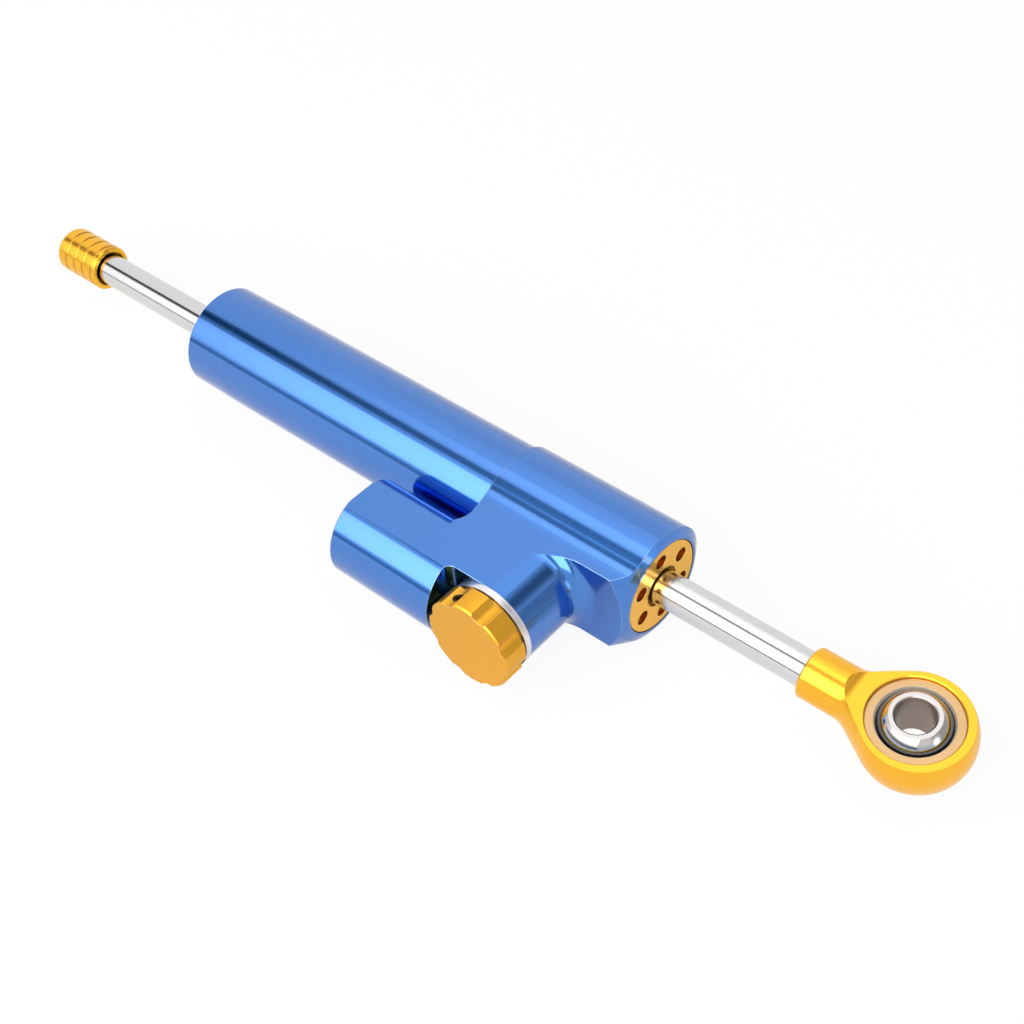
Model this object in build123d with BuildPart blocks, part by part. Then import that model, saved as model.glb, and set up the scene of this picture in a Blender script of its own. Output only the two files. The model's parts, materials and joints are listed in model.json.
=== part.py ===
from build123d import *
import os
from math import cos, radians, sin, sqrt, tan

os.makedirs("parts", exist_ok=True)

# Lengths along the rod, in mm. X runs towards the eye and 0 is the centre of the eye's ball.
shank_reach = 23.6
front_rod_len = 36.5
barrel_len = 40.0
tube_len = 94.4
rear_rod_len = 44.6
cap_len = 14.9

# Rod and its ends
rod_r = 4.0
spigot_r = 3.0
shank_spigot_len = 10.1
cap_socket_depth = 3.0
cap_spigot_len = 8.0
rod_end_chamfer = 0.4

# Housing
barrel_r = 13.55
nose_rim_r = 11.65
nose_rim_len = 1.0
flat_half = 10.25
flank_reach = 12.9
blend_r = 8.0
slot_r = 5.1
slot_back = 3.9
slot_lean = 10.5
counterbore_r = 11.4
spigot_len = 12.1
bore_r = 9.5

# Reservoir at the housing's side
reservoir_r = 11.35
reservoir_off = 25.85
reservoir_len = 40.1
reservoir_edge = 0.5
cavity_r = 8.5
cavity_len = 25.5

# Adjuster boss, pocket and flare
boss_off = 21.3
boss_r = 10.25
boss_face = 29.5
boss_bore_r = 5.0
boss_floor = 5.0
flare_r = 4.0
pocket_reach = 11.6
pocket_corner_r = 2.2
spot_gap = 0.35
jet_passage_r = 1.2
link_passage_r = 1.0

# Tube
tube_r = 12.7
end_band_r = 12.62
end_band_len = 11.3
tube_edge_r = 0.6

# Gland nuts with their seals and bushes
gland_r = 11.1
gland_len = 10.0
gland_sink = 0.1
gland_lip_len = 2.0
gland_lip_r = 4.85
pack_r = 6.2
seal_len = 3.0
bush_chamfer = 0.3
pin_hole_r = 1.7
pin_hole_pitch_r = 7.75
pin_hole_depth = 3.5
pin_hole_count = 6
pin_hole_angle = 34.0
seal_cup_depth = 1.5
seal_cup_wall = 0.6

# Squeezed O-rings
ring_squeeze = 1.35
ring_width = 1.7
ring_corner_share = 0.36
groove_width = 2.1
gland_groove_back = 3.8
tube_ring_squeeze = 1.1
tube_groove_back = 5.0

# Piston on the rod
piston_reach = 105.4
piston_len = 10.0
piston_gap = 0.08
piston_ring_len = 3.0
piston_groove_r = 7.9
piston_groove_gap = 0.05
piston_ring_split = 0.8
bleed_r = 0.6
bleed_pitch_r = 5.9
bleed_count = 4
clip_r = 5.6
clip_seat_r = 3.6
clip_len = 1.0
clip_opening = 5.0

# Rod end eye, race and ball
eye_tilt = 8.36
head_r = 11.95
head_off = 0.4
head_half = 4.5
shank_r = 5.6
shank_edge = 0.4
neck_slope = 31.3
neck_arc_r = 6.0
flat_end = 11.9
ramp_r = 4.5
race_r = 9.6
race_half = 3.8
race_bevel = 0.4
race_bevel_depth = 0.9
seat_chamfer = 0.2
ball_r = 7.94
ball_half = 6.0
eye_bore_r = 4.0
eye_bore_chamfer = 0.3

# Rear cap
cap_r = 5.8
cap_dome_r = 1.3
rib_count = 4
rib_pitch = 3.27
rib_end = 3.8
rib_groove_depth = 0.45
rib_groove_width = 1.0
cap_mouth_r = 4.6
cap_mouth_depth = 1.6
cap_edge = 0.4

# Knob with its washer, stem, needle and jet
washer_r = 10.4
washer_bore_r = 8.8
washer_len = 1.5
hub_r = 8.6
skirt_r = 9.8
skirt_len = 0.6
knob_r = 10.75
knob_len = 5.75
lobe_count = 8
groove_r = 2.9
groove_depth = 0.85
groove_angle = 26.5
grub_groove_angle = 116.5
lobe_chamfer = 0.35
knob_gap = 0.1
stem_r = 3.0
stem_inset = 1.4
stem_socket_gap = 0.2
collar_r = 4.2
collar_len = 1.3
collar_gap = 0.1
stem_tail = 0.4
adjuster_gland_len = 6.5
stem_ring_r = 4.1
stem_ring_len = 1.5
stem_groove_len = 1.7
stem_groove_back = 2.5
grub_r = 1.25
grub_forward = 3.0
grub_sink = 0.15
grub_socket_r = 0.75
grub_socket_depth = 1.6
needle_r = 1.5
needle_len = 9.0
needle_tip_r = 0.3
needle_cone_len = 1.8
needle_entry = 0.3
jet_len = 3.5
jet_r = 0.8
needle_room = 2.0
detent_r = 1.0
detent_pitch_r = 7.4
detent_depth = 5.0
detent_rise = 0.7
wire_r = 0.16
spring_pitch = 0.9

# Reservoir's inner pieces
plug_inset = 1.8
plug_len = 5.0
plug_groove_back = 1.4
circlip_r = 9.0
circlip_bore_r = 7.4
circlip_len = 1.0
circlip_opening = 6.0
float_start = 12.5
float_len = 6.0
float_dish_r = 5.0
float_dish_depth = 2.5
float_groove_r = 7.3
float_ring_gap = 0.02

# Clearances of running fits, and the overrun of cutting shapes
run_gap = 0.04
needle_gap = 0.05
over = 1.0
far = 40.0
touch = 0.01

# Stations that follow from the lengths
shank_x = -shank_reach
front_x = shank_x - front_rod_len
back_x = front_x - barrel_len
tube_x = back_x - tube_len
mouth_x = tube_x - rear_rod_len
cap_x = mouth_x - cap_len
knob_x = front_x - boss_off
reservoir_x = knob_x - reservoir_len
cavity_x = reservoir_x + cavity_len
pocket_x = knob_x - pocket_reach
front_gland_x = front_x - gland_sink
rear_gland_x = tube_x + gland_sink
front_chamber_x = front_gland_x - gland_len
rear_chamber_x = rear_gland_x + gland_len
spigot_x = back_x + spigot_len
piston_x = shank_x - piston_reach
knob_back = boss_face + knob_gap
skirt_back = boss_face + washer_len + knob_gap
knob_front = skirt_back + skirt_len + knob_len
boss_bottom = bore_r + boss_floor
jet_face = boss_bottom + jet_len
gland_inner = boss_face - adjuster_gland_len

# The three turning axes, and how a station and a radius lie on each
rod_axis = Axis.X
reservoir_axis = Axis((0, -reservoir_off, 0), (1, 0, 0))
knob_axis = Axis((knob_x, 0, 0), (0, 1, 0))


def on_rod(station, radius):
    return (station, radius)


def on_reservoir(station, radius):
    return (station, radius - reservoir_off)


def on_knob(station, radius):
    return (knob_x + radius, -station)


def turn(place, axis, points, mode=Mode.ADD):
    with BuildSketch(Plane.XY) as outline:
        with BuildLine():
            Polyline(*[place(a, r) for a, r in points], close=True)
        make_face()
    revolve(outline.sketch, axis=axis, mode=mode)


def band(place, axis, start, end, inner, outer, mode=Mode.ADD):
    corners = [(start, inner), (end, inner), (end, outer), (start, outer)]
    turn(place, axis, corners, mode)


def squeezed_ring(place, axis, middle, inner, outer, width=ring_width):
    with BuildPart() as ring:
        with BuildSketch(Plane.XY) as outline:
            with BuildLine():
                low, high = middle - width / 2, middle + width / 2
                corners = [(low, inner), (high, inner), (high, outer), (low, outer)]
                Polyline(*[place(a, r) for a, r in corners], close=True)
            make_face()
            fillet(outline.vertices(), radius=ring_corner_share * (outer - inner))
        revolve(axis=axis)
    return ring


# Housing: the barrel with its flats blended in, the web with the S-shaped rear wall
crease_half = sqrt(reservoir_r ** 2 - flat_half ** 2)
crease_in = reservoir_off - crease_half
slot_x = back_x - slot_back
slot_y = slot_r - crease_in
wall_x = slot_x + slot_r * cos(radians(slot_lean))
wall_y = slot_y + slot_r * sin(radians(slot_lean))
wall_top_y = wall_y + (wall_x - back_x) / tan(radians(slot_lean))
slab = 2 * flat_half

# Boss for the adjuster, flared towards the flank and cut to the same flats
with BuildPart() as boss:
    with BuildSketch(Plane.XY):
        with BuildLine():
            Polyline(
                on_knob(flank_reach, boss_r + flare_r),
                on_knob(bore_r, boss_r + flare_r),
                on_knob(bore_r, 0),
                on_knob(boss_face, 0),
                on_knob(boss_face, boss_r),
                on_knob(flank_reach + flare_r, boss_r),
            )
            RadiusArc(
                on_knob(flank_reach + flare_r, boss_r),
                on_knob(flank_reach, boss_r + flare_r),
                flare_r,
            )
        make_face()
    revolve(axis=knob_axis)
    with Locations((knob_x, -boss_face / 2, 0)):
        Box(far, far, slab, mode=Mode.INTERSECT)

with BuildPart() as housing:
    with BuildSketch(Plane.YZ.offset(back_x)) as section:
        Circle(barrel_r)
        with Locations((-reservoir_off / 2, 0)):
            Rectangle(reservoir_off, slab)
        inner_corners = section.vertices().filter_by(
            lambda v: abs(v.Y) > flat_half - touch and abs(v.X) < flank_reach
        )
        fillet(inner_corners, radius=blend_r)
    extrude(amount=barrel_len)
    # The flank is cut back in front of the web
    with BuildSketch(Plane.XY) as flank:
        with BuildLine():
            Polyline(
                (knob_x, -flank_reach),
                (front_x + over, -flank_reach),
                (front_x + over, -far),
                (knob_x, -far),
                close=True,
            )
        make_face()
    extrude(amount=far, both=True, mode=Mode.SUBTRACT)
    # The rear wall swings into the slot beside the tube
    with BuildSketch(Plane.XY) as rear_wall:
        with BuildLine():
            Line((back_x - over, wall_top_y), (back_x, wall_top_y))
            Line((back_x, wall_top_y), (wall_x, wall_y))
            CenterArc((slot_x, slot_y), slot_r, slot_lean, -slot_lean - 90)
            Line((slot_x, -crease_in), (slot_x - over, -crease_in))
            Line((slot_x - over, -crease_in), (slot_x - over, wall_top_y))
            Line((slot_x - over, wall_top_y), (back_x - over, wall_top_y))
        make_face()
    extrude(amount=far, both=True, mode=Mode.SUBTRACT)
    # Reservoir with its top and bottom flats
    with BuildSketch(Plane.YZ.offset(reservoir_x)) as reservoir_section:
        with Locations((-reservoir_off, 0)):
            Circle(reservoir_r)
            Rectangle(2 * reservoir_r, slab, mode=Mode.INTERSECT)
    extrude(amount=reservoir_len)
    turn(
        on_reservoir,
        reservoir_axis,
        [
            (reservoir_x + reservoir_edge + over, reservoir_r + over),
            (reservoir_x - over, reservoir_r - reservoir_edge - over),
            (reservoir_x - over, reservoir_r + over),
        ],
        Mode.SUBTRACT,
    )
    # Pocket that the knob turns in
    with BuildSketch(Plane.XY) as pocket:
        with BuildLine():
            Polyline(
                (pocket_x, -boss_face),
                (front_x, -boss_face),
                (front_x, -far),
                (pocket_x, -far),
                close=True,
            )
        make_face()
        fillet(pocket.vertices().group_by(Axis.X)[0].sort_by(Axis.Y)[-1], radius=pocket_corner_r)
    extrude(amount=far, both=True, mode=Mode.SUBTRACT)
    band(on_knob, knob_axis, boss_face, far, 0, washer_r + spot_gap, Mode.SUBTRACT)
    add(boss.part)
    # The nose cone runs over the block's corners too
    turn(
        on_rod,
        rod_axis,
        [
            (front_x + over, nose_rim_r),
            (front_x, nose_rim_r),
            (front_x - nose_rim_len, barrel_r),
            (front_x - nose_rim_len - 4 * over, barrel_r + 4 * over),
            (front_x + over, barrel_r + 4 * over),
        ],
        Mode.SUBTRACT,
    )
    # Working bore, its two counterbores and the drillings
    band(on_rod, rod_axis, back_x - over, front_x + over, 0, bore_r, Mode.SUBTRACT)
    band(on_rod, rod_axis, back_x - over, spigot_x, 0, counterbore_r, Mode.SUBTRACT)
    band(on_rod, rod_axis, front_chamber_x, front_x + over, 0, gland_r, Mode.SUBTRACT)
    band(on_knob, knob_axis, boss_bottom, boss_face + over, 0, boss_bore_r, Mode.SUBTRACT)
    band(on_knob, knob_axis, 0, boss_bottom + over, 0, jet_passage_r, Mode.SUBTRACT)
    band(on_reservoir, reservoir_axis, reservoir_x - over, cavity_x, 0, cavity_r, Mode.SUBTRACT)
    band(
        on_reservoir,
        reservoir_axis,
        reservoir_x + plug_inset - circlip_len,
        reservoir_x + plug_inset,
        0,
        circlip_r,
        Mode.SUBTRACT,
    )
    link_plane = Plane(
        origin=(cavity_x - over, -(jet_face + gland_inner) / 2, 0), x_dir=(0, 1, 0), z_dir=(1, 0, 0)
    )
    with BuildSketch(link_plane):
        Circle(link_passage_r)
    extrude(amount=knob_x - cavity_x, mode=Mode.SUBTRACT)
    with BuildSketch(Plane(origin=(knob_x, -boss_face, 0), x_dir=(1, 0, 0), z_dir=(0, 1, 0))):
        with Locations((0, detent_pitch_r)):
            Circle(detent_r + needle_gap)
    extrude(amount=detent_depth, mode=Mode.SUBTRACT)

# Tube with its end band, spigot and two counterbores
tube_groove_x = spigot_x - tube_groove_back
tube_groove_r = counterbore_r - tube_ring_squeeze
with BuildPart() as damper_tube:
    turn(
        on_rod,
        rod_axis,
        [
            (tube_x, gland_r),
            (tube_x, end_band_r - tube_edge_r / 2),
            (tube_x + tube_edge_r / 2, end_band_r),
            (tube_x + end_band_len, end_band_r),
            (tube_x + end_band_len, tube_r),
            (back_x, tube_r),
            (back_x, counterbore_r),
            (spigot_x, counterbore_r),
            (spigot_x, bore_r),
            (rear_chamber_x, bore_r),
            (rear_chamber_x, gland_r),
        ],
    )
    band(
        on_rod,
        rod_axis,
        tube_groove_x - groove_width / 2,
        tube_groove_x + groove_width / 2,
        tube_groove_r,
        counterbore_r + over,
        Mode.SUBTRACT,
    )

tube_oring = squeezed_ring(on_rod, rod_axis, tube_groove_x, tube_groove_r, counterbore_r)


def gland_nut(face_x, outward):
    groove_r_floor = gland_r - ring_squeeze
    groove_mid = face_x - outward * (gland_len - gland_groove_back)
    lip_x = face_x - outward * gland_lip_len
    inner_x = face_x - outward * gland_len
    with BuildPart() as nut:
        turn(
            on_rod,
            rod_axis,
            [
                (face_x, gland_lip_r),
                (face_x, gland_r - bush_chamfer),
                (face_x - outward * bush_chamfer, gland_r),
                (groove_mid + outward * groove_width / 2, gland_r),
                (groove_mid + outward * groove_width / 2, groove_r_floor),
                (groove_mid - outward * groove_width / 2, groove_r_floor),
                (groove_mid - outward * groove_width / 2, gland_r),
                (inner_x, gland_r),
                (inner_x, pack_r),
                (lip_x, pack_r),
                (lip_x, gland_lip_r),
            ],
        )
        with BuildSketch(Plane.YZ.offset(face_x)):
            with PolarLocations(pin_hole_pitch_r, pin_hole_count, start_angle=pin_hole_angle):
                Circle(pin_hole_r)
        extrude(amount=-outward * pin_hole_depth, mode=Mode.SUBTRACT)
    return nut


def guide_bush(face_x, outward):
    start = face_x - outward * (gland_lip_len + seal_len)
    end = face_x - outward * gland_len
    hole = rod_r + run_gap
    with BuildPart() as bush:
        turn(
            on_rod,
            rod_axis,
            [
                (start, hole + bush_chamfer),
                (start, pack_r),
                (end, pack_r),
                (end, hole + bush_chamfer),
                (end + outward * bush_chamfer, hole),
                (start - outward * bush_chamfer, hole),
            ],
        )
    return bush


def rod_seal(face_x, outward):
    start = face_x - outward * gland_lip_len
    end = start - outward * seal_len
    cup_x = end + outward * seal_cup_depth
    hole = rod_r + run_gap
    with BuildPart() as seal:
        turn(
            on_rod,
            rod_axis,
            [
                (start, hole),
                (start, pack_r),
                (end, pack_r),
                (end, pack_r - seal_cup_wall),
                (cup_x, pack_r - seal_cup_wall),
                (cup_x, hole + seal_cup_wall),
                (end, hole + seal_cup_wall),
                (end, hole),
            ],
        )
    return seal


def gland_oring(face_x, outward):
    middle = face_x - outward * (gland_len - gland_groove_back)
    return squeezed_ring(on_rod, rod_axis, middle, gland_r - ring_squeeze, gland_r)


front_gland_nut = gland_nut(front_gland_x, 1)
front_guide_bush = guide_bush(front_gland_x, 1)
front_rod_seal = rod_seal(front_gland_x, 1)
front_gland_oring = gland_oring(front_gland_x, 1)
rear_gland_nut = gland_nut(rear_gland_x, -1)
rear_guide_bush = guide_bush(rear_gland_x, -1)
rear_rod_seal = rod_seal(rear_gland_x, -1)
rear_gland_oring = gland_oring(rear_gland_x, -1)

# Rod that runs through the whole tube, with a spigot at each end and two clip grooves
piston_back = piston_x - piston_len / 2
piston_front = piston_x + piston_len / 2
clip_back = piston_back - clip_len
clip_front = piston_front + clip_len
rod_back_x = mouth_x - cap_socket_depth
with BuildPart() as damper_rod:
    turn(
        on_rod,
        rod_axis,
        [
            (rod_back_x - cap_spigot_len, 0),
            (rod_back_x - cap_spigot_len, spigot_r - rod_end_chamfer),
            (rod_back_x - cap_spigot_len + rod_end_chamfer, spigot_r),
            (rod_back_x, spigot_r),
            (rod_back_x, rod_r),
            (clip_back, rod_r),
            (clip_back, clip_seat_r),
            (piston_back, clip_seat_r),
            (piston_back, rod_r),
            (piston_front, rod_r),
            (piston_front, clip_seat_r),
            (clip_front, clip_seat_r),
            (clip_front, rod_r),
            (shank_x, rod_r),
            (shank_x, spigot_r),
            (shank_x + shank_spigot_len - rod_end_chamfer, spigot_r),
            (shank_x + shank_spigot_len, spigot_r - rod_end_chamfer),
            (shank_x + shank_spigot_len, 0),
        ],
    )

# Piston, with a ring groove and bleed holes
groove_half = piston_ring_len / 2 + piston_groove_gap
piston_r = bore_r - piston_gap
with BuildPart() as piston:
    turn(
        on_rod,
        rod_axis,
        [
            (piston_back, rod_r),
            (piston_back, piston_r),
            (piston_x - groove_half, piston_r),
            (piston_x - groove_half, piston_groove_r),
            (piston_x + groove_half, piston_groove_r),
            (piston_x + groove_half, piston_r),
            (piston_front, piston_r),
            (piston_front, rod_r),
        ],
    )
    with BuildSketch(Plane.YZ.offset(piston_back)):
        with PolarLocations(bleed_pitch_r, bleed_count):
            Circle(bleed_r)
    extrude(amount=piston_len, mode=Mode.SUBTRACT)

with BuildPart() as piston_ring:
    band(
        on_rod,
        rod_axis,
        piston_x - piston_ring_len / 2,
        piston_x + piston_ring_len / 2,
        piston_groove_r + run_gap,
        bore_r - run_gap,
    )
    with Locations((piston_x, 0, bore_r)):
        Box(piston_len, piston_ring_split, bore_r, mode=Mode.SUBTRACT)

with BuildPart() as piston_clips:
    band(on_rod, rod_axis, clip_back, piston_back, clip_seat_r, clip_r)
    band(on_rod, rod_axis, piston_front, clip_front, clip_seat_r, clip_r)
    with Locations((piston_x, 0, -clip_r)):
        Box(far, clip_opening, 2 * clip_r, mode=Mode.SUBTRACT)

# Rod end eye, turned about the rod by the tilt
tilt = radians(eye_tilt)
eye_normal = (0, -sin(tilt), cos(tilt))
eye_side = (0, cos(tilt), sin(tilt))
eye_plane = Plane(origin=(0, 0, 0), x_dir=(1, 0, 0), z_dir=eye_normal)
ramp_plane = Plane(origin=(0, 0, 0), x_dir=(1, 0, 0), z_dir=tuple(-c for c in eye_side))
slope = radians(neck_slope)
meet_x = head_off - head_r * sin(slope)
meet_r = head_r * cos(slope)
cone_x = meet_x - (meet_r - shank_r) / tan(slope)
neck_bend = neck_arc_r * tan(slope / 2)
with BuildPart() as rod_end_eye:
    # Shank, neck and ball-shaped head are turned
    with BuildSketch(Plane.XY):
        with BuildLine():
            neck_start = (cone_x - neck_bend, shank_r)
            neck_end = (cone_x + neck_bend * cos(slope), shank_r + neck_bend * sin(slope))
            RadiusArc(neck_start, neck_end, -neck_arc_r)
            Line(neck_end, (meet_x, meet_r))
            ThreePointArc((meet_x, meet_r), (head_off, head_r), (head_off + head_r, 0))
            Polyline(
                (head_off + head_r, 0),
                (shank_x, 0),
                (shank_x, shank_r - shank_edge),
                (shank_x + shank_edge, shank_r),
                neck_start,
            )
        make_face()
    revolve(axis=rod_axis)
    # Both faces are milled flat, and run out in a ramp
    for side in (1, -1):
        with BuildSketch(ramp_plane):
            with BuildLine():
                Polyline(
                    (-flat_end, side * head_half),
                    (far, side * head_half),
                    (far, side * far),
                    (-flat_end - ramp_r, side * far),
                    (-flat_end - ramp_r, side * (head_half + ramp_r)),
                )
                RadiusArc(
                    (-flat_end - ramp_r, side * (head_half + ramp_r)),
                    (-flat_end, side * head_half),
                    -side * ramp_r,
                )
            make_face()
        extrude(amount=far, both=True, mode=Mode.SUBTRACT)
    with BuildSketch(eye_plane):
        Circle(race_r)
    extrude(amount=head_half + over, both=True, mode=Mode.SUBTRACT)
    band(on_rod, rod_axis, shank_x - over, shank_x + shank_spigot_len, 0, spigot_r, Mode.SUBTRACT)
    seat_edges = rod_end_eye.edges().filter_by(GeomType.CIRCLE)
    chamfer(seat_edges.filter_by(lambda e: abs(e.radius - race_r) < touch), length=seat_chamfer)

# Race with a spherical bore
socket_r = ball_r + run_gap
bevel_half = race_half - race_bevel_depth
bevel_r = sqrt(socket_r ** 2 - bevel_half ** 2)
with BuildPart() as bearing_race:
    with BuildSketch(ramp_plane):
        with BuildLine():
            Polyline(
                (bevel_r, bevel_half),
                (bevel_r + race_bevel, race_half),
                (race_r, race_half),
                (race_r, -race_half),
                (bevel_r + race_bevel, -race_half),
                (bevel_r, -bevel_half),
            )
            ThreePointArc((bevel_r, -bevel_half), (socket_r, 0), (bevel_r, bevel_half))
        make_face()
    revolve(axis=Axis((0, 0, 0), eye_normal))

# Ball with its through bore
rim_r = sqrt(ball_r ** 2 - ball_half ** 2)
with BuildPart() as bearing_ball:
    with BuildSketch(ramp_plane):
        with BuildLine():
            Polyline(
                (rim_r, ball_half),
                (eye_bore_r + eye_bore_chamfer, ball_half),
                (eye_bore_r, ball_half - eye_bore_chamfer),
                (eye_bore_r, -ball_half + eye_bore_chamfer),
                (eye_bore_r + eye_bore_chamfer, -ball_half),
                (rim_r, -ball_half),
            )
            ThreePointArc((rim_r, -ball_half), (ball_r, 0), (rim_r, ball_half))
        make_face()
    revolve(axis=Axis((0, 0, 0), eye_normal))

# Ribbed cap on the rod's rear end
with BuildPart() as rear_cap:
    with BuildSketch(Plane.XY) as cap_outline:
        with BuildLine():
            Polyline(
                (cap_x, 0),
                (mouth_x, 0),
                (mouth_x, cap_r - cap_edge),
                (mouth_x - cap_edge, cap_r),
                (cap_x, cap_r),
                close=True,
            )
        make_face()
        fillet(cap_outline.vertices().group_by(Axis.X)[0].sort_by(Axis.Y)[-1], radius=cap_dome_r)
        for rib in range(rib_count):
            groove_x = cap_x + rib_end + rib_pitch * rib
            groove_start = (groove_x - rib_groove_width / 2, cap_r)
            groove_end = (groove_x + rib_groove_width / 2, cap_r)
            with BuildLine():
                Line(groove_start, groove_end)
                ThreePointArc(groove_start, (groove_x, cap_r - rib_groove_depth), groove_end)
            make_face(mode=Mode.SUBTRACT)
    revolve(axis=rod_axis)
    band(on_rod, rod_axis, mouth_x - cap_mouth_depth, mouth_x + over, 0, cap_mouth_r, Mode.SUBTRACT)
    band(on_rod, rod_axis, rod_back_x, mouth_x + over, 0, rod_r, Mode.SUBTRACT)
    band(on_rod, rod_axis, rod_back_x - cap_spigot_len, mouth_x, 0, spigot_r, Mode.SUBTRACT)

# Knob with lobes, and the hole of its grub screw
lobe_plane = Plane(
    origin=(knob_x, -(skirt_back + skirt_len), 0), x_dir=(1, 0, 0), z_dir=(0, -1, 0)
)
grub_angle = radians(grub_groove_angle)
grub_plane = Plane(
    origin=(knob_x, grub_forward - knob_front, 0),
    x_dir=(0, 1, 0),
    z_dir=(cos(grub_angle), 0, sin(grub_angle)),
)
socket_end = knob_front - stem_inset
with BuildPart() as adjuster_knob:
    with BuildSketch(lobe_plane):
        Circle(knob_r)
        groove_centre_r = knob_r + groove_r - groove_depth
        with PolarLocations(groove_centre_r, lobe_count, start_angle=groove_angle):
            Circle(groove_r, mode=Mode.SUBTRACT)
    extrude(amount=knob_len)
    turn(
        on_knob,
        knob_axis,
        [
            (knob_front - lobe_chamfer - over, knob_r + over),
            (knob_front + over, knob_r - lobe_chamfer - over),
            (knob_front + over, knob_r + over),
        ],
        Mode.SUBTRACT,
    )
    band(on_knob, knob_axis, skirt_back, skirt_back + skirt_len, 0, skirt_r)
    band(on_knob, knob_axis, knob_back, skirt_back, 0, hub_r)
    band(on_knob, knob_axis, knob_back - over, socket_end, 0, stem_r, Mode.SUBTRACT)
    with BuildSketch(grub_plane):
        Circle(grub_r)
    extrude(amount=knob_r + over, mode=Mode.SUBTRACT)
    # Round groove that the detent ball runs in
    with BuildSketch(Plane.XY):
        with Locations(on_knob(boss_face - detent_r + detent_rise, detent_pitch_r)):
            Circle(detent_r + needle_gap)
    revolve(axis=knob_axis, mode=Mode.SUBTRACT)

with BuildPart() as knob_grub_screw:
    with BuildSketch(grub_plane.offset(stem_r)):
        Circle(grub_r)
    extrude(amount=knob_r - groove_depth - grub_sink - stem_r)
    with BuildSketch(grub_plane.offset(knob_r - groove_depth - grub_sink)):
        RegularPolygon(grub_socket_r, 6)
    extrude(amount=-grub_socket_depth, mode=Mode.SUBTRACT)

with BuildPart() as knob_washer:
    band(on_knob, knob_axis, boss_face, boss_face + washer_len, washer_bore_r, washer_r)

# Stem with its collar, in the adjuster's gland
collar_back = gland_inner - collar_gap - collar_len
stem_back = collar_back - stem_tail
stem_bore_r = needle_r + needle_gap
needle_tip = jet_face - needle_entry
needle_end = needle_tip + needle_len
with BuildPart() as adjuster_stem:
    turn(
        on_knob,
        knob_axis,
        [
            (stem_back, stem_bore_r),
            (stem_back, stem_r),
            (collar_back, stem_r),
            (collar_back, collar_r),
            (collar_back + collar_len, collar_r),
            (collar_back + collar_len, stem_r),
            (socket_end - stem_socket_gap, stem_r),
            (socket_end - stem_socket_gap, 0),
            (needle_end + needle_room, 0),
            (needle_end + needle_room, stem_bore_r),
        ],
    )

stem_groove_mid = boss_face - stem_groove_back
with BuildPart() as adjuster_gland:
    band(on_knob, knob_axis, gland_inner, boss_face, stem_r + needle_gap, boss_bore_r)
    band(
        on_knob,
        knob_axis,
        stem_groove_mid - stem_groove_len / 2,
        stem_groove_mid + stem_groove_len / 2,
        0,
        stem_ring_r,
        Mode.SUBTRACT,
    )

stem_oring = squeezed_ring(
    on_knob, knob_axis, stem_groove_mid, stem_r + run_gap, stem_ring_r, stem_ring_len
)

with BuildPart() as metering_needle:
    turn(
        on_knob,
        knob_axis,
        [
            (needle_tip, 0),
            (needle_tip, needle_tip_r),
            (needle_tip + needle_cone_len, needle_r),
            (needle_end, needle_r),
            (needle_end, 0),
        ],
    )

with BuildPart() as metering_jet:
    band(on_knob, knob_axis, boss_bottom, jet_face, jet_r, boss_bore_r)

# Detent ball and spring in their own bore beside the stem
detent_y = -(boss_face - detent_r + detent_rise)
spring_seat_y = -(boss_face - detent_depth)
with BuildPart() as detent_ball:
    with Locations((knob_x, detent_y, -detent_pitch_r)):
        Sphere(detent_r)

spring_r = detent_r - wire_r
spring_lift = sqrt((detent_r + wire_r) ** 2 - spring_r ** 2)
spring_height = spring_seat_y - wire_r - (detent_y + spring_lift)
with BuildPart() as detent_spring:
    with BuildLine():
        coil = Helix(
            pitch=spring_pitch,
            height=spring_height,
            radius=spring_r,
            center=(knob_x, spring_seat_y - wire_r, -detent_pitch_r),
            direction=(0, -1, 0),
        )
    with BuildSketch(Plane(origin=coil @ 0, z_dir=coil % 0)):
        Circle(wire_r)
    sweep()

# Floating piston, plug and circlip in the reservoir
float_x = reservoir_x + float_start
float_mid = float_x + float_len / 2
float_groove_half = groove_width / 2
with BuildPart() as reservoir_piston:
    turn(
        on_reservoir,
        reservoir_axis,
        [
            (float_x + float_dish_depth, 0),
            (float_x + float_dish_depth, float_dish_r),
            (float_x, float_dish_r),
            (float_x, cavity_r - run_gap),
            (float_mid - float_groove_half, cavity_r - run_gap),
            (float_mid - float_groove_half, float_groove_r),
            (float_mid + float_groove_half, float_groove_r),
            (float_mid + float_groove_half, cavity_r - run_gap),
            (float_x + float_len, cavity_r - run_gap),
            (float_x + float_len, 0),
        ],
    )

reservoir_piston_oring = squeezed_ring(
    on_reservoir, reservoir_axis, float_mid, float_groove_r, cavity_r - float_ring_gap
)

plug_x = reservoir_x + plug_inset
plug_groove_x = plug_x + plug_len - plug_groove_back - groove_width / 2
plug_groove_r = cavity_r - ring_squeeze
with BuildPart() as reservoir_plug:
    band(on_reservoir, reservoir_axis, plug_x, plug_x + plug_len, 0, cavity_r)
    band(
        on_reservoir,
        reservoir_axis,
        plug_groove_x - groove_width / 2,
        plug_groove_x + groove_width / 2,
        plug_groove_r,
        cavity_r + over,
        Mode.SUBTRACT,
    )

reservoir_plug_oring = squeezed_ring(
    on_reservoir, reservoir_axis, plug_groove_x, plug_groove_r, cavity_r
)

with BuildPart() as reservoir_circlip:
    band(on_reservoir, reservoir_axis, plug_x - circlip_len, plug_x, circlip_bore_r, circlip_r)
    with Locations((plug_x, -reservoir_off, circlip_r)):
        Box(far, circlip_opening, circlip_r, mode=Mode.SUBTRACT)

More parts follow.
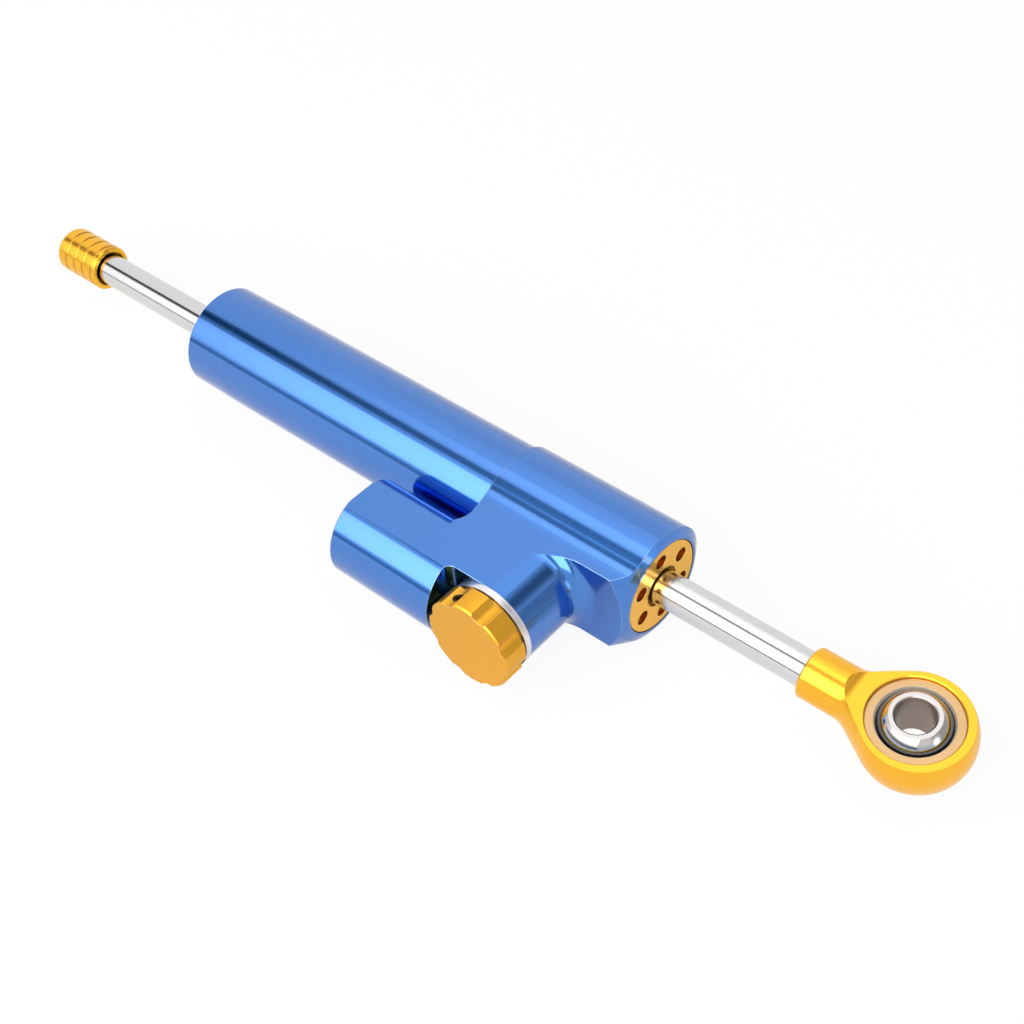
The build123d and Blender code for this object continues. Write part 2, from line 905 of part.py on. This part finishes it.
pieces = {
    "housing": housing,
    "damper_tube": damper_tube,
    "tube_oring": tube_oring,
    "front_gland_nut": front_gland_nut,
    "front_guide_bush": front_guide_bush,
    "front_rod_seal": front_rod_seal,
    "front_gland_oring": front_gland_oring,
    "rear_gland_nut": rear_gland_nut,
    "rear_guide_bush": rear_guide_bush,
    "rear_rod_seal": rear_rod_seal,
    "rear_gland_oring": rear_gland_oring,
    "damper_rod": damper_rod,
    "piston": piston,
    "piston_ring": piston_ring,
    "piston_clips": piston_clips,
    "rod_end_eye": rod_end_eye,
    "bearing_race": bearing_race,
    "bearing_ball": bearing_ball,
    "rear_cap": rear_cap,
    "adjuster_knob": adjuster_knob,
    "knob_grub_screw": knob_grub_screw,
    "knob_washer": knob_washer,
    "adjuster_stem": adjuster_stem,
    "adjuster_gland": adjuster_gland,
    "stem_oring": stem_oring,
    "metering_needle": metering_needle,
    "metering_jet": metering_jet,
    "detent_ball": detent_ball,
    "detent_spring": detent_spring,
    "reservoir_piston": reservoir_piston,
    "reservoir_piston_oring": reservoir_piston_oring,
    "reservoir_plug": reservoir_plug,
    "reservoir_plug_oring": reservoir_plug_oring,
    "reservoir_circlip": reservoir_circlip,
}
for name, piece in pieces.items():
    piece.part.label = name
    export_step(piece.part, f"parts/{name}.step")
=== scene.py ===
import json
import math

import bpy
from mathutils import Matrix, Vector


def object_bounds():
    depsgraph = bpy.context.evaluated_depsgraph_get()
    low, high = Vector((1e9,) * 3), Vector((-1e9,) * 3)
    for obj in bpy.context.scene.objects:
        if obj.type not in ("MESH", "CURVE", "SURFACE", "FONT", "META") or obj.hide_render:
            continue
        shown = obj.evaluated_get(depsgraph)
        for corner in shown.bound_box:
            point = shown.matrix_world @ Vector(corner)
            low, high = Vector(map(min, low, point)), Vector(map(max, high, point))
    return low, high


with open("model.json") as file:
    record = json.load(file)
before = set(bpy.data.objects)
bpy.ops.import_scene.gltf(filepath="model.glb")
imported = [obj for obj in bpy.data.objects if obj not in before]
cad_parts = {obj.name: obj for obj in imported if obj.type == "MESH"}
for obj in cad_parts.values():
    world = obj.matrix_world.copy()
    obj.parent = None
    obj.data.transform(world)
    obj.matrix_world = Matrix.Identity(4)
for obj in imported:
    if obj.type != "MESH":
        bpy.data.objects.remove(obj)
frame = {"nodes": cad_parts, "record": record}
cad_box = [list(map(float, corner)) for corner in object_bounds()]
scene = bpy.context.scene
scene.view_settings.view_transform = "Standard"


# Short forms for shader nodes
def calc(tree, operation, a, b=None):
    """One operation on a socket, with a second socket or a number where it needs one."""
    node = tree.nodes.new("ShaderNodeMath")
    node.operation = operation
    tree.links.new(a, node.inputs[0])
    if isinstance(b, float):
        node.inputs[1].default_value = b
    elif b is not None:
        tree.links.new(b, node.inputs[1])
    return node.outputs[0]


def span(tree, value, low, high, from_low=0.0, from_high=1.0):
    """A value carried over from one range to another, and held at its ends."""
    node = tree.nodes.new("ShaderNodeMapRange")
    node.inputs["From Min"].default_value = from_low
    node.inputs["From Max"].default_value = from_high
    node.inputs["To Min"].default_value = low
    node.inputs["To Max"].default_value = high
    tree.links.new(value, node.inputs["Value"])
    return node.outputs["Result"]


# Camera, as fitted to the photograph
CAMERA_AT = Vector((0.073278, -0.188555, 0.257576))
RIGHT = Vector((0.76010, 0.64853, -0.04078))
UP = Vector((-0.44147, 0.56143, 0.69993))
FORWARD = Vector((-0.47682, 0.51401, -0.71305))
LENS_MM = 57.875
SENSOR_MM = 36.0
NEAREST_SEEN = 0.01


def add_camera():
    data = bpy.data.cameras.new("camera")
    data.lens = LENS_MM
    data.sensor_width = SENSOR_MM
    data.clip_start = NEAREST_SEEN
    camera = bpy.data.objects.new("camera", data)
    scene.collection.objects.link(camera)
    turn = Matrix((RIGHT, UP, -FORWARD)).transposed().to_4x4()
    camera.matrix_world = Matrix.Translation(CAMERA_AT) @ turn
    scene.camera = camera


# Levels of the white world: what rays of sight and mirrored rays see, and what lights matt pieces
WORLD_SEEN = 1.0
WORLD_LIGHT = 0.6


def add_world():
    world = bpy.data.worlds.new("studio")
    scene.world = world
    world.use_nodes = True
    tree = world.node_tree
    tree.nodes.clear()
    path = tree.nodes.new("ShaderNodeLightPath")
    sight = calc(tree, "MAXIMUM", path.outputs["Is Camera Ray"], path.outputs["Is Glossy Ray"])
    seen = calc(tree, "MAXIMUM", sight, path.outputs["Is Transmission Ray"])
    background = tree.nodes.new("ShaderNodeBackground")
    background.inputs["Color"].default_value = (1, 1, 1, 1)
    tree.links.new(span(tree, seen, WORLD_LIGHT, WORLD_SEEN), background.inputs["Strength"])
    out = tree.nodes.new("ShaderNodeOutputWorld")
    tree.links.new(background.outputs[0], out.inputs["Surface"])


add_camera()
add_world()


# The lamp and the bars stand round the damper's middle, and the end cards round its barrel's end
MIDDLE_AT = Vector((-0.12, -0.01, 0.0))
END_AT = Vector((-0.06, -0.01, 0.0))
BAR_AWAY = 1.2
CARD_AWAY = 1.15
CORE_AWAY = 1.1
BARS_BACK = -2.2
BARS_FRONT = 0.9
NEARLY_X = 0.9


def facing(obj, place, target):
    """Puts an object at a place, with its Z axis turned away from the target."""
    away = (place - target).normalized()
    side = Vector((1, 0, 0)) if abs(away.x) < NEARLY_X else Vector((0, 1, 0))
    side = (side - away * side.dot(away)).normalized()
    up = away.cross(side)
    obj.matrix_world = Matrix.Translation(place) @ Matrix((side, up, away)).transposed().to_4x4()


def rectangle(name, length, width):
    mesh = bpy.data.meshes.new(name)
    half_l, half_w = length / 2, width / 2
    corners = [(-half_l, -half_w, 0), (half_l, -half_w, 0), (half_l, half_w, 0), (-half_l, half_w, 0)]
    mesh.from_pydata(corners, [], [(0, 1, 2, 3)])
    obj = bpy.data.objects.new(name, mesh)
    scene.collection.objects.link(obj)
    return obj


def glow_material(name, fade, round_fade):
    """Light whose level goes from one station to another, along X or outwards from the centre."""
    material = bpy.data.materials.new(name)
    material.use_nodes = True
    tree = material.node_tree
    tree.nodes.clear()
    where = tree.nodes.new("ShaderNodeTexCoord")
    if round_fade:
        split = tree.nodes.new("ShaderNodeVectorMath")
        split.operation = "LENGTH"
        station = split.outputs["Value"]
    else:
        split = tree.nodes.new("ShaderNodeSeparateXYZ")
        station = split.outputs["X"]
    tree.links.new(where.outputs["Object"], split.inputs[0])
    low, level_low, high, level_high = fade
    glow = tree.nodes.new("ShaderNodeEmission")
    tree.links.new(span(tree, station, level_low, level_high, low, high), glow.inputs["Strength"])
    out = tree.nodes.new("ShaderNodeOutputMaterial")
    tree.links.new(glow.outputs[0], out.inputs["Surface"])
    return material


def glowing_card(name, place, target, length, width, fade, round_fade=False):
    """Card seen by mirrored rays only."""
    card = rectangle(name, length, width)
    facing(card, place, target)
    card.data.materials.append(glow_material(name, fade, round_fade))
    card.visible_camera = False
    card.visible_diffuse = False
    card.visible_shadow = False
    card.visible_transmission = False


def bar(name, start, end, fade, away=BAR_AWAY):
    """Bar along X between two angles from +Z towards -Y. Its fade is X, level, X, level."""
    angle, half = math.radians((start + end) / 2), math.radians((end - start) / 2)
    middle = Vector(((BARS_BACK + BARS_FRONT) / 2, MIDDLE_AT.y, MIDDLE_AT.z))
    place = middle + Vector((0, -math.sin(angle), math.cos(angle))) * away
    low, level_low, high, level_high = fade
    shifted = (low - middle.x, level_low, high - middle.x, level_high)
    glowing_card(name, place, middle, BARS_FRONT - BARS_BACK, 2 * math.tan(half) * away, shifted)


def end_card(name, lift, angle, spread, level, rim_level, away, core_share=0.4):
    """Card seen from the barrel's end, lifted towards +X by one angle and turned about X by the other."""
    e, a = math.radians(lift), math.radians(angle)
    toward = Vector((math.sin(e), -math.cos(e) * math.sin(a), math.cos(e) * math.cos(a)))
    half = math.tan(math.radians(spread)) * away
    fade = (core_share * half, level, half, rim_level)
    glowing_card(name, END_AT + toward * away, END_AT, 2 * half, 2 * half, fade, True)


bar("main_bar", 28, 76, fade=(-1.4, 1.2, -0.6, 3.9))
bar("top_bar", -10, 8, fade=(-1.1, 1.0, -0.5, 2.2))
bar("upper_bar", -24, -10, fade=(-1.1, 1.0, -0.3, 1.6))
bar("high_bar", -38, -24, fade=(-1.1, 1.0, -0.5, 1.3))
bar("gap_bar", 7, 31, fade=(-1.1, 0.4, -0.68, 1.5), away=CARD_AWAY)
bar("gap_core", 11, 23, fade=(-1.1, 0.03, -0.68, 0.4), away=CORE_AWAY)
bar("low_bar", 81, 88, fade=(-1, 0.35, 1, 0.25), away=CARD_AWAY)
end_card("end_grey", lift=40, angle=-45, spread=40, level=0.5, rim_level=0.65, away=1.6)
end_card("end_light", lift=82, angle=0, spread=13, level=2.4, rim_level=0.8, away=1.3)
end_card("end_dark", lift=25, angle=-33, spread=20, level=0.2, rim_level=0.9, away=1.1, core_share=0.3)

# A card lying on the floor beyond the eye, that the barrel's nose mirrors
NOSE_CARD_AT = Vector((0.26, 0.075, cad_box[0][2]))
NOSE_CARD_LENGTH = 0.28
NOSE_CARD_WIDTH = 0.11
NOSE_CARD_LEVEL = 2.8
nose_card_end = NOSE_CARD_LENGTH / 2
glowing_card(
    "nose_card",
    NOSE_CARD_AT,
    NOSE_CARD_AT + Vector((0, 0, 1)),
    NOSE_CARD_LENGTH,
    NOSE_CARD_WIDTH,
    (-nose_card_end, NOSE_CARD_LEVEL, nose_card_end, NOSE_CARD_LEVEL),
)

# One lamp lights the floor and what is matt, from the side of the main bar
KEY_ANGLE = math.radians(53)
KEY_RADIANCE = 2.5
KEY_LENGTH = 2.4
KEY_WIDTH = 1.0


def add_key():
    data = bpy.data.lights.new("key", "AREA")
    data.shape = "RECTANGLE"
    data.size = KEY_LENGTH
    data.size_y = KEY_WIDTH
    data.energy = KEY_RADIANCE * math.pi * KEY_LENGTH * KEY_WIDTH
    key = bpy.data.objects.new("key", data)
    scene.collection.objects.link(key)
    toward = Vector((0, -math.sin(KEY_ANGLE), math.cos(KEY_ANGLE)))
    facing(key, MIDDLE_AT + toward * BAR_AWAY, MIDDLE_AT)
    key.visible_camera = False
    key.visible_glossy = False


# Floor: white in itself for rays of sight and mirrored rays, with a share left for the shadow
FLOOR_REACH = 6.0
FLOOR_DROP = 0.0003
FLOOR_COLOUR = (0.95, 0.95, 0.95)
SEEN_GLOW_SHARE = 0.92
MIRRORED_GLOW_SHARE = 0.4


def floor_white():
    material = bpy.data.materials.new("floor")
    material.use_nodes = True
    tree = material.node_tree
    tree.nodes.clear()
    plain = tree.nodes.new("ShaderNodeBsdfDiffuse")
    plain.inputs["Color"].default_value = (*FLOOR_COLOUR, 1)
    glow = tree.nodes.new("ShaderNodeEmission")
    glow.inputs["Strength"].default_value = 1.0
    path = tree.nodes.new("ShaderNodeLightPath")
    seen = calc(tree, "MULTIPLY", path.outputs["Is Camera Ray"], SEEN_GLOW_SHARE)
    mirrored = calc(tree, "MULTIPLY", path.outputs["Is Glossy Ray"], MIRRORED_GLOW_SHARE)
    mix = tree.nodes.new("ShaderNodeMixShader")
    tree.links.new(calc(tree, "ADD", seen, mirrored), mix.inputs["Fac"])
    tree.links.new(plain.outputs[0], mix.inputs[1])
    tree.links.new(glow.outputs[0], mix.inputs[2])
    out = tree.nodes.new("ShaderNodeOutputMaterial")
    tree.links.new(mix.outputs[0], out.inputs["Surface"])
    return material


add_key()
floor = rectangle("floor", 2 * FLOOR_REACH, 2 * FLOOR_REACH)
floor.location.z = cad_box[0][2] - FLOOR_DROP
floor.data.materials.append(floor_white())


# Materials. Each piece's own coordinates are in metres, so scales are waves per metre.
def start(name):
    material = bpy.data.materials.new(name)
    material.use_nodes = True
    tree = material.node_tree
    shader = tree.nodes["Principled BSDF"]
    where = tree.nodes.new("ShaderNodeTexCoord")
    return material, tree, shader, where.outputs["Object"]


def stretched(tree, place, scale):
    mapping = tree.nodes.new("ShaderNodeMapping")
    mapping.inputs["Scale"].default_value = scale
    tree.links.new(place, mapping.inputs["Vector"])
    return mapping.outputs["Vector"]


def noise(tree, place, scale, detail=3.0, rough=0.5):
    node = tree.nodes.new("ShaderNodeTexNoise")
    node.inputs["Scale"].default_value = scale
    node.inputs["Detail"].default_value = detail
    node.inputs["Roughness"].default_value = rough
    tree.links.new(place, node.inputs["Vector"])
    return node.outputs["Fac"]


def tint(tree, value, low, high):
    """From one colour to another, each given as a colour or as a socket."""
    node = tree.nodes.new("ShaderNodeMix")
    node.data_type = "RGBA"
    for end, colour in (("A", low), ("B", high)):
        if isinstance(colour, tuple):
            node.inputs[end].default_value = (*colour, 1)
        else:
            tree.links.new(colour, node.inputs[end])
    tree.links.new(value, node.inputs["Factor"])
    return node.outputs["Result"]


def dot(tree, a, b):
    """Dot product of two vectors, the second one a socket or fixed."""
    node = tree.nodes.new("ShaderNodeVectorMath")
    node.operation = "DOT_PRODUCT"
    tree.links.new(a, node.inputs[0])
    if isinstance(b, tuple):
        node.inputs[1].default_value = b
    else:
        tree.links.new(b, node.inputs[1])
    return node.outputs["Value"]


BEVEL_SAMPLES = 6
CORNER_SAMPLES = 4


def rounded(tree, radius):
    """The direction of the surface, as if its edges were rounded."""
    bevel = tree.nodes.new("ShaderNodeBevel")
    bevel.samples = BEVEL_SAMPLES
    bevel.inputs["Radius"].default_value = radius
    return bevel.outputs["Normal"]


def relief(tree, shader, height, distance, edge=0.0):
    bump = tree.nodes.new("ShaderNodeBump")
    bump.inputs["Distance"].default_value = distance
    tree.links.new(height, bump.inputs["Height"])
    if edge:
        tree.links.new(rounded(tree, edge), bump.inputs["Normal"])
    tree.links.new(bump.outputs["Normal"], shader.inputs["Normal"])


def openness(tree, reach):
    """0 in a corner and 1 in the open, within a reach."""
    node = tree.nodes.new("ShaderNodeAmbientOcclusion")
    node.samples = CORNER_SAMPLES
    node.inputs["Distance"].default_value = reach
    return node.outputs["AO"]


# How far rounding turns the surface, as a cosine, from a full edge to none
EDGE_TURN = (0.75, 0.96)


def edges(tree, radius):
    """1 on a sharp edge and 0 on smooth faces."""
    shape = tree.nodes.new("ShaderNodeNewGeometry")
    turn = dot(tree, rounded(tree, radius), shape.outputs["Normal"])
    return span(tree, turn, 1.0, 0.0, *EDGE_TURN)


# Painted shade: corners are darkened between two shares of openness, down to a share of the colour
CORNER_REACH = 0.0009
CORNER_SHARES = (0.35, 0.9)
CORNER_SHADE_DEPTH_SHARE = 0.15

# Stretches of the noise, so that its waves follow the tool's path
EVEN = (1, 1, 1)
TURNED = (1, 0.01, 0.01)
KNOB_TURNED = (0.01, 1, 0.01)

CLOUD_WAVES = 90
FINE_WAVES = 2500
FINE_DETAIL = 3.0
FINE_ROUGH = 0.6
FINE_SHARES = (0.3, 0.7)
FINE_DEPTH = 4e-7
COAT_ROUGHNESS = 0.03
COAT_IOR = 1.74


def metal(
    name,
    low,
    high,
    rough,
    coat=0.0,
    grain=EVEN,
    waves=FINE_WAVES,
    depth=FINE_DEPTH,
    edge=0.0,
    rim=None,
    painted_edge=None,
):
    """Metal between two colours and two roughnesses, perhaps with a coat, a rim tint, a painted edge colour
    and painted shade in corners.
    """
    material, tree, shader, place = start(name)
    shader.inputs["Metallic"].default_value = 1.0
    shader.inputs["Coat Weight"].default_value = coat
    shader.inputs["Coat Roughness"].default_value = COAT_ROUGHNESS
    shader.inputs["Coat IOR"].default_value = COAT_IOR
    if rim:
        shader.inputs["Specular Tint"].default_value = (*rim, 1)
    body = tint(tree, noise(tree, place, CLOUD_WAVES), low, high)
    # Painted light and shade: sharp edges take the given edge colour, which is a painted highlight on most
    # metals and a painted dark line on the eye; corners get painted shade.
    if painted_edge:
        body = tint(tree, edges(tree, edge), body, painted_edge)
        # Painted shade: the colour that corners are darkened to
        corner = tuple(CORNER_SHADE_DEPTH_SHARE * part for part in low)
        body = tint(tree, span(tree, openness(tree, CORNER_REACH), 0.0, 1.0, *CORNER_SHARES), corner, body)
    tree.links.new(body, shader.inputs["Base Color"])
    fine = noise(tree, stretched(tree, place, grain), waves, FINE_DETAIL, FINE_ROUGH)
    tree.links.new(span(tree, fine, *rough, *FINE_SHARES), shader.inputs["Roughness"])
    relief(tree, shader, fine, depth, edge)
    return material


# Two colours, two roughnesses and, for the blue, the coat
BLUE = (0.010, 0.160, 0.57), (0.014, 0.174, 0.60), (0.16, 0.2), 1.0
GOLD = (0.90, 0.46, 0.035), (0.96, 0.50, 0.045), (0.22, 0.28)
GOLD_KNOB = (0.77, 0.385, 0.032), (0.82, 0.41, 0.04), (0.34, 0.4)
CHROME = (0.66, 0.66, 0.66), (0.70, 0.70, 0.70), (0.09, 0.11)
BARE = (0.74, 0.72, 0.75), (0.84, 0.82, 0.85), (0.25, 0.4)
BRONZE = (0.44, 0.28, 0.135), (0.52, 0.335, 0.165), (0.3, 0.4)
BRASS = (0.62, 0.44, 0.16), (0.72, 0.52, 0.2), (0.2, 0.3)
WIRE = (0.45, 0.45, 0.47), (0.55, 0.55, 0.57), (0.2, 0.3)
BLACK = (0.03, 0.03, 0.033), (0.045, 0.045, 0.05), (0.3, 0.45)

# Colours that rims take, and colours painted on edges: painted highlights, and a dark line of painted shade
# on the eye
BLUE_RIM = (0.45, 0.48, 0.6)
BLUE_PAINTED_HIGHLIGHT = (0.45, 0.68, 0.95)
GOLD_PAINTED_HIGHLIGHT = (1.0, 0.85, 0.45)
EYE_PAINTED_DARK_EDGE = (0.30, 0.21, 0.03)

# Radii of rounded edges
HOUSING_EDGE = 0.0003
TUBE_EDGE = 0.0002
GOLD_EDGE = 0.00015
FINE_EDGE = 0.0001

TUBE_DEPTH = 8e-7
ROD_WAVES = 9000
ROD_DEPTH = 1.2e-5

blue = metal("blue_anodised", *BLUE, edge=HOUSING_EDGE, rim=BLUE_RIM, painted_edge=BLUE_PAINTED_HIGHLIGHT)
blue_turned = metal(
    "blue_turned", *BLUE, grain=TURNED, depth=TUBE_DEPTH, edge=TUBE_EDGE, rim=BLUE_RIM, painted_edge=BLUE_PAINTED_HIGHLIGHT
)
gold = metal("gold_anodised", *GOLD, edge=GOLD_EDGE, painted_edge=GOLD_PAINTED_HIGHLIGHT)
gold_eye = metal("gold_eye", *GOLD, edge=GOLD_EDGE, painted_edge=EYE_PAINTED_DARK_EDGE)
gold_knob = metal("gold_knob", *GOLD_KNOB, edge=GOLD_EDGE, painted_edge=GOLD_PAINTED_HIGHLIGHT)
chrome = metal("chrome_steel", *CHROME, grain=TURNED, waves=ROD_WAVES, depth=ROD_DEPTH)
bare = metal("bare_aluminium", *BARE, grain=KNOB_TURNED, edge=FINE_EDGE)
bronze = metal("bronze", *BRONZE, edge=FINE_EDGE)
brass = metal("brass", *BRASS)
wire = metal("spring_steel", *WIRE)
black = metal("black_steel", *BLACK)

# The eye's bore axis is tilted. Radii from it part the zones of the ball and of the race.
EYE_TILT = math.radians(8.36)
BORE_AXIS = (0, -math.sin(EYE_TILT), math.cos(EYE_TILT))
BORE_EDGE = (0.0041, 0.0044)
# Radii of the ball's painted shade: a darker bluish ring, and a dark line where the ball meets the race
BALL_SHADE_RING = (0.0060, 0.0066)
BALL_SHADE_LINE = (0.00705, 0.0072)
RACE_BEVEL = (0.0077, 0.0080)

BALL_BORE_COLOUR = (0.30, 0.25, 0.22)
BALL_COLOUR = (0.56, 0.53, 0.52)
# Painted shade colours of the ball: the darker bluish ring, and the dark line at the race
BALL_PAINTED_SHADE_COLOUR = (0.30, 0.36, 0.46)
BALL_SHADE_LINE_COLOUR = (0.01, 0.01, 0.01)
BALL_DEPTH = 1e-7
BALL_EDGE = 0.0002
BORE_ROUGHNESS = 0.3
BALL_ROUGHNESS = 0.07

RACE_LOW = (0.54, 0.345, 0.167)
RACE_HIGH = (0.63, 0.41, 0.2)
# The bevel's pale colour is painted light, which lifts the bevel next to the ball
RACE_BEVEL_PAINTED_LIGHT = (0.62, 0.52, 0.42)
RACE_BEVEL_METALLIC = 0.15
RACE_BEVEL_ROUGHNESS = 0.6
RACE_ROUGHNESS = 0.35
RACE_EDGE = 0.0003


def bore_radius(tree, place):
    """Distance from the axis of the eye's bore."""
    along = dot(tree, place, BORE_AXIS)
    square = calc(tree, "MULTIPLY", along, along)
    return calc(tree, "SQRT", calc(tree, "SUBTRACT", dot(tree, place, place), square))


def ball_steel():
    """Plain in the bore and polished outside, with painted shade towards the race: a darker bluish ring,
    and a dark line where the ball goes into the race.
    """
    material, tree, shader, place = start("polished_ball")
    shader.inputs["Metallic"].default_value = 1.0
    radius = bore_radius(tree, place)
    outside = span(tree, radius, 0.0, 1.0, *BORE_EDGE)
    body = tint(tree, outside, BALL_BORE_COLOUR, BALL_COLOUR)
    body = tint(tree, span(tree, radius, 0.0, 1.0, *BALL_SHADE_RING), body, BALL_PAINTED_SHADE_COLOUR)
    body = tint(tree, span(tree, radius, 0.0, 1.0, *BALL_SHADE_LINE), body, BALL_SHADE_LINE_COLOUR)
    tree.links.new(body, shader.inputs["Base Color"])
    tree.links.new(span(tree, outside, BORE_ROUGHNESS, BALL_ROUGHNESS), shader.inputs["Roughness"])
    relief(tree, shader, noise(tree, place, FINE_WAVES), BALL_DEPTH, BALL_EDGE)
    return material


def race_bronze():
    """Bright on the face, and dull on the bevel next to the ball, with a pale colour there that is painted
    light.
    """
    material, tree, shader, place = start("race_bronze")
    face = span(tree, bore_radius(tree, place), 0.0, 1.0, *RACE_BEVEL)
    tree.links.new(span(tree, face, RACE_BEVEL_METALLIC, 1.0), shader.inputs["Metallic"])
    cloud = tint(tree, noise(tree, place, CLOUD_WAVES), RACE_LOW, RACE_HIGH)
    tree.links.new(tint(tree, face, RACE_BEVEL_PAINTED_LIGHT, cloud), shader.inputs["Base Color"])
    tree.links.new(span(tree, face, RACE_BEVEL_ROUGHNESS, RACE_ROUGHNESS), shader.inputs["Roughness"])
    relief(tree, shader, noise(tree, place, FINE_WAVES), FINE_DEPTH, RACE_EDGE)
    return material


polished = ball_steel()
race = race_bronze()

SOFT_WAVES = 400
SOFT_DETAIL = 4.0
SOFT_DEPTH = 2e-6


def soft(name, low, high, rough):
    material, tree, shader, place = start(name)
    cloud = noise(tree, place, SOFT_WAVES, SOFT_DETAIL)
    tree.links.new(tint(tree, cloud, low, high), shader.inputs["Base Color"])
    tree.links.new(span(tree, cloud, *rough), shader.inputs["Roughness"])
    relief(tree, shader, cloud, SOFT_DEPTH)
    return material


rubber = soft("black_rubber", low=(0.015, 0.015, 0.015), high=(0.03, 0.03, 0.03), rough=(0.5, 0.7))
ptfe = soft("ptfe", low=(0.78, 0.77, 0.73), high=(0.88, 0.87, 0.84), rough=(0.35, 0.5))

# Each node takes its slot's material, or one of its own
by_slot = {
    "blue_anodised": blue,
    "gold_anodised": gold,
    "chrome_steel": chrome,
    "bare_aluminium": bare,
    "bronze": bronze,
    "black_rubber": rubber,
    "ptfe": ptfe,
    "black_steel": black,
    "brass": brass,
    "spring_steel": wire,
}
by_node = {
    "damper_tube": blue_turned,
    "adjuster_knob": gold_knob,
    "rod_end_eye": gold_eye,
    "bearing_race": race,
    "bearing_ball": polished,
}
for entry in frame["record"]["subparts"]:
    obj = frame["nodes"][entry["node"]]
    material = by_node.get(entry["node"], by_slot[entry["material_slot"]])
    if not obj.material_slots:
        obj.data.materials.append(material)
    for holder in obj.material_slots:
        holder.material = material
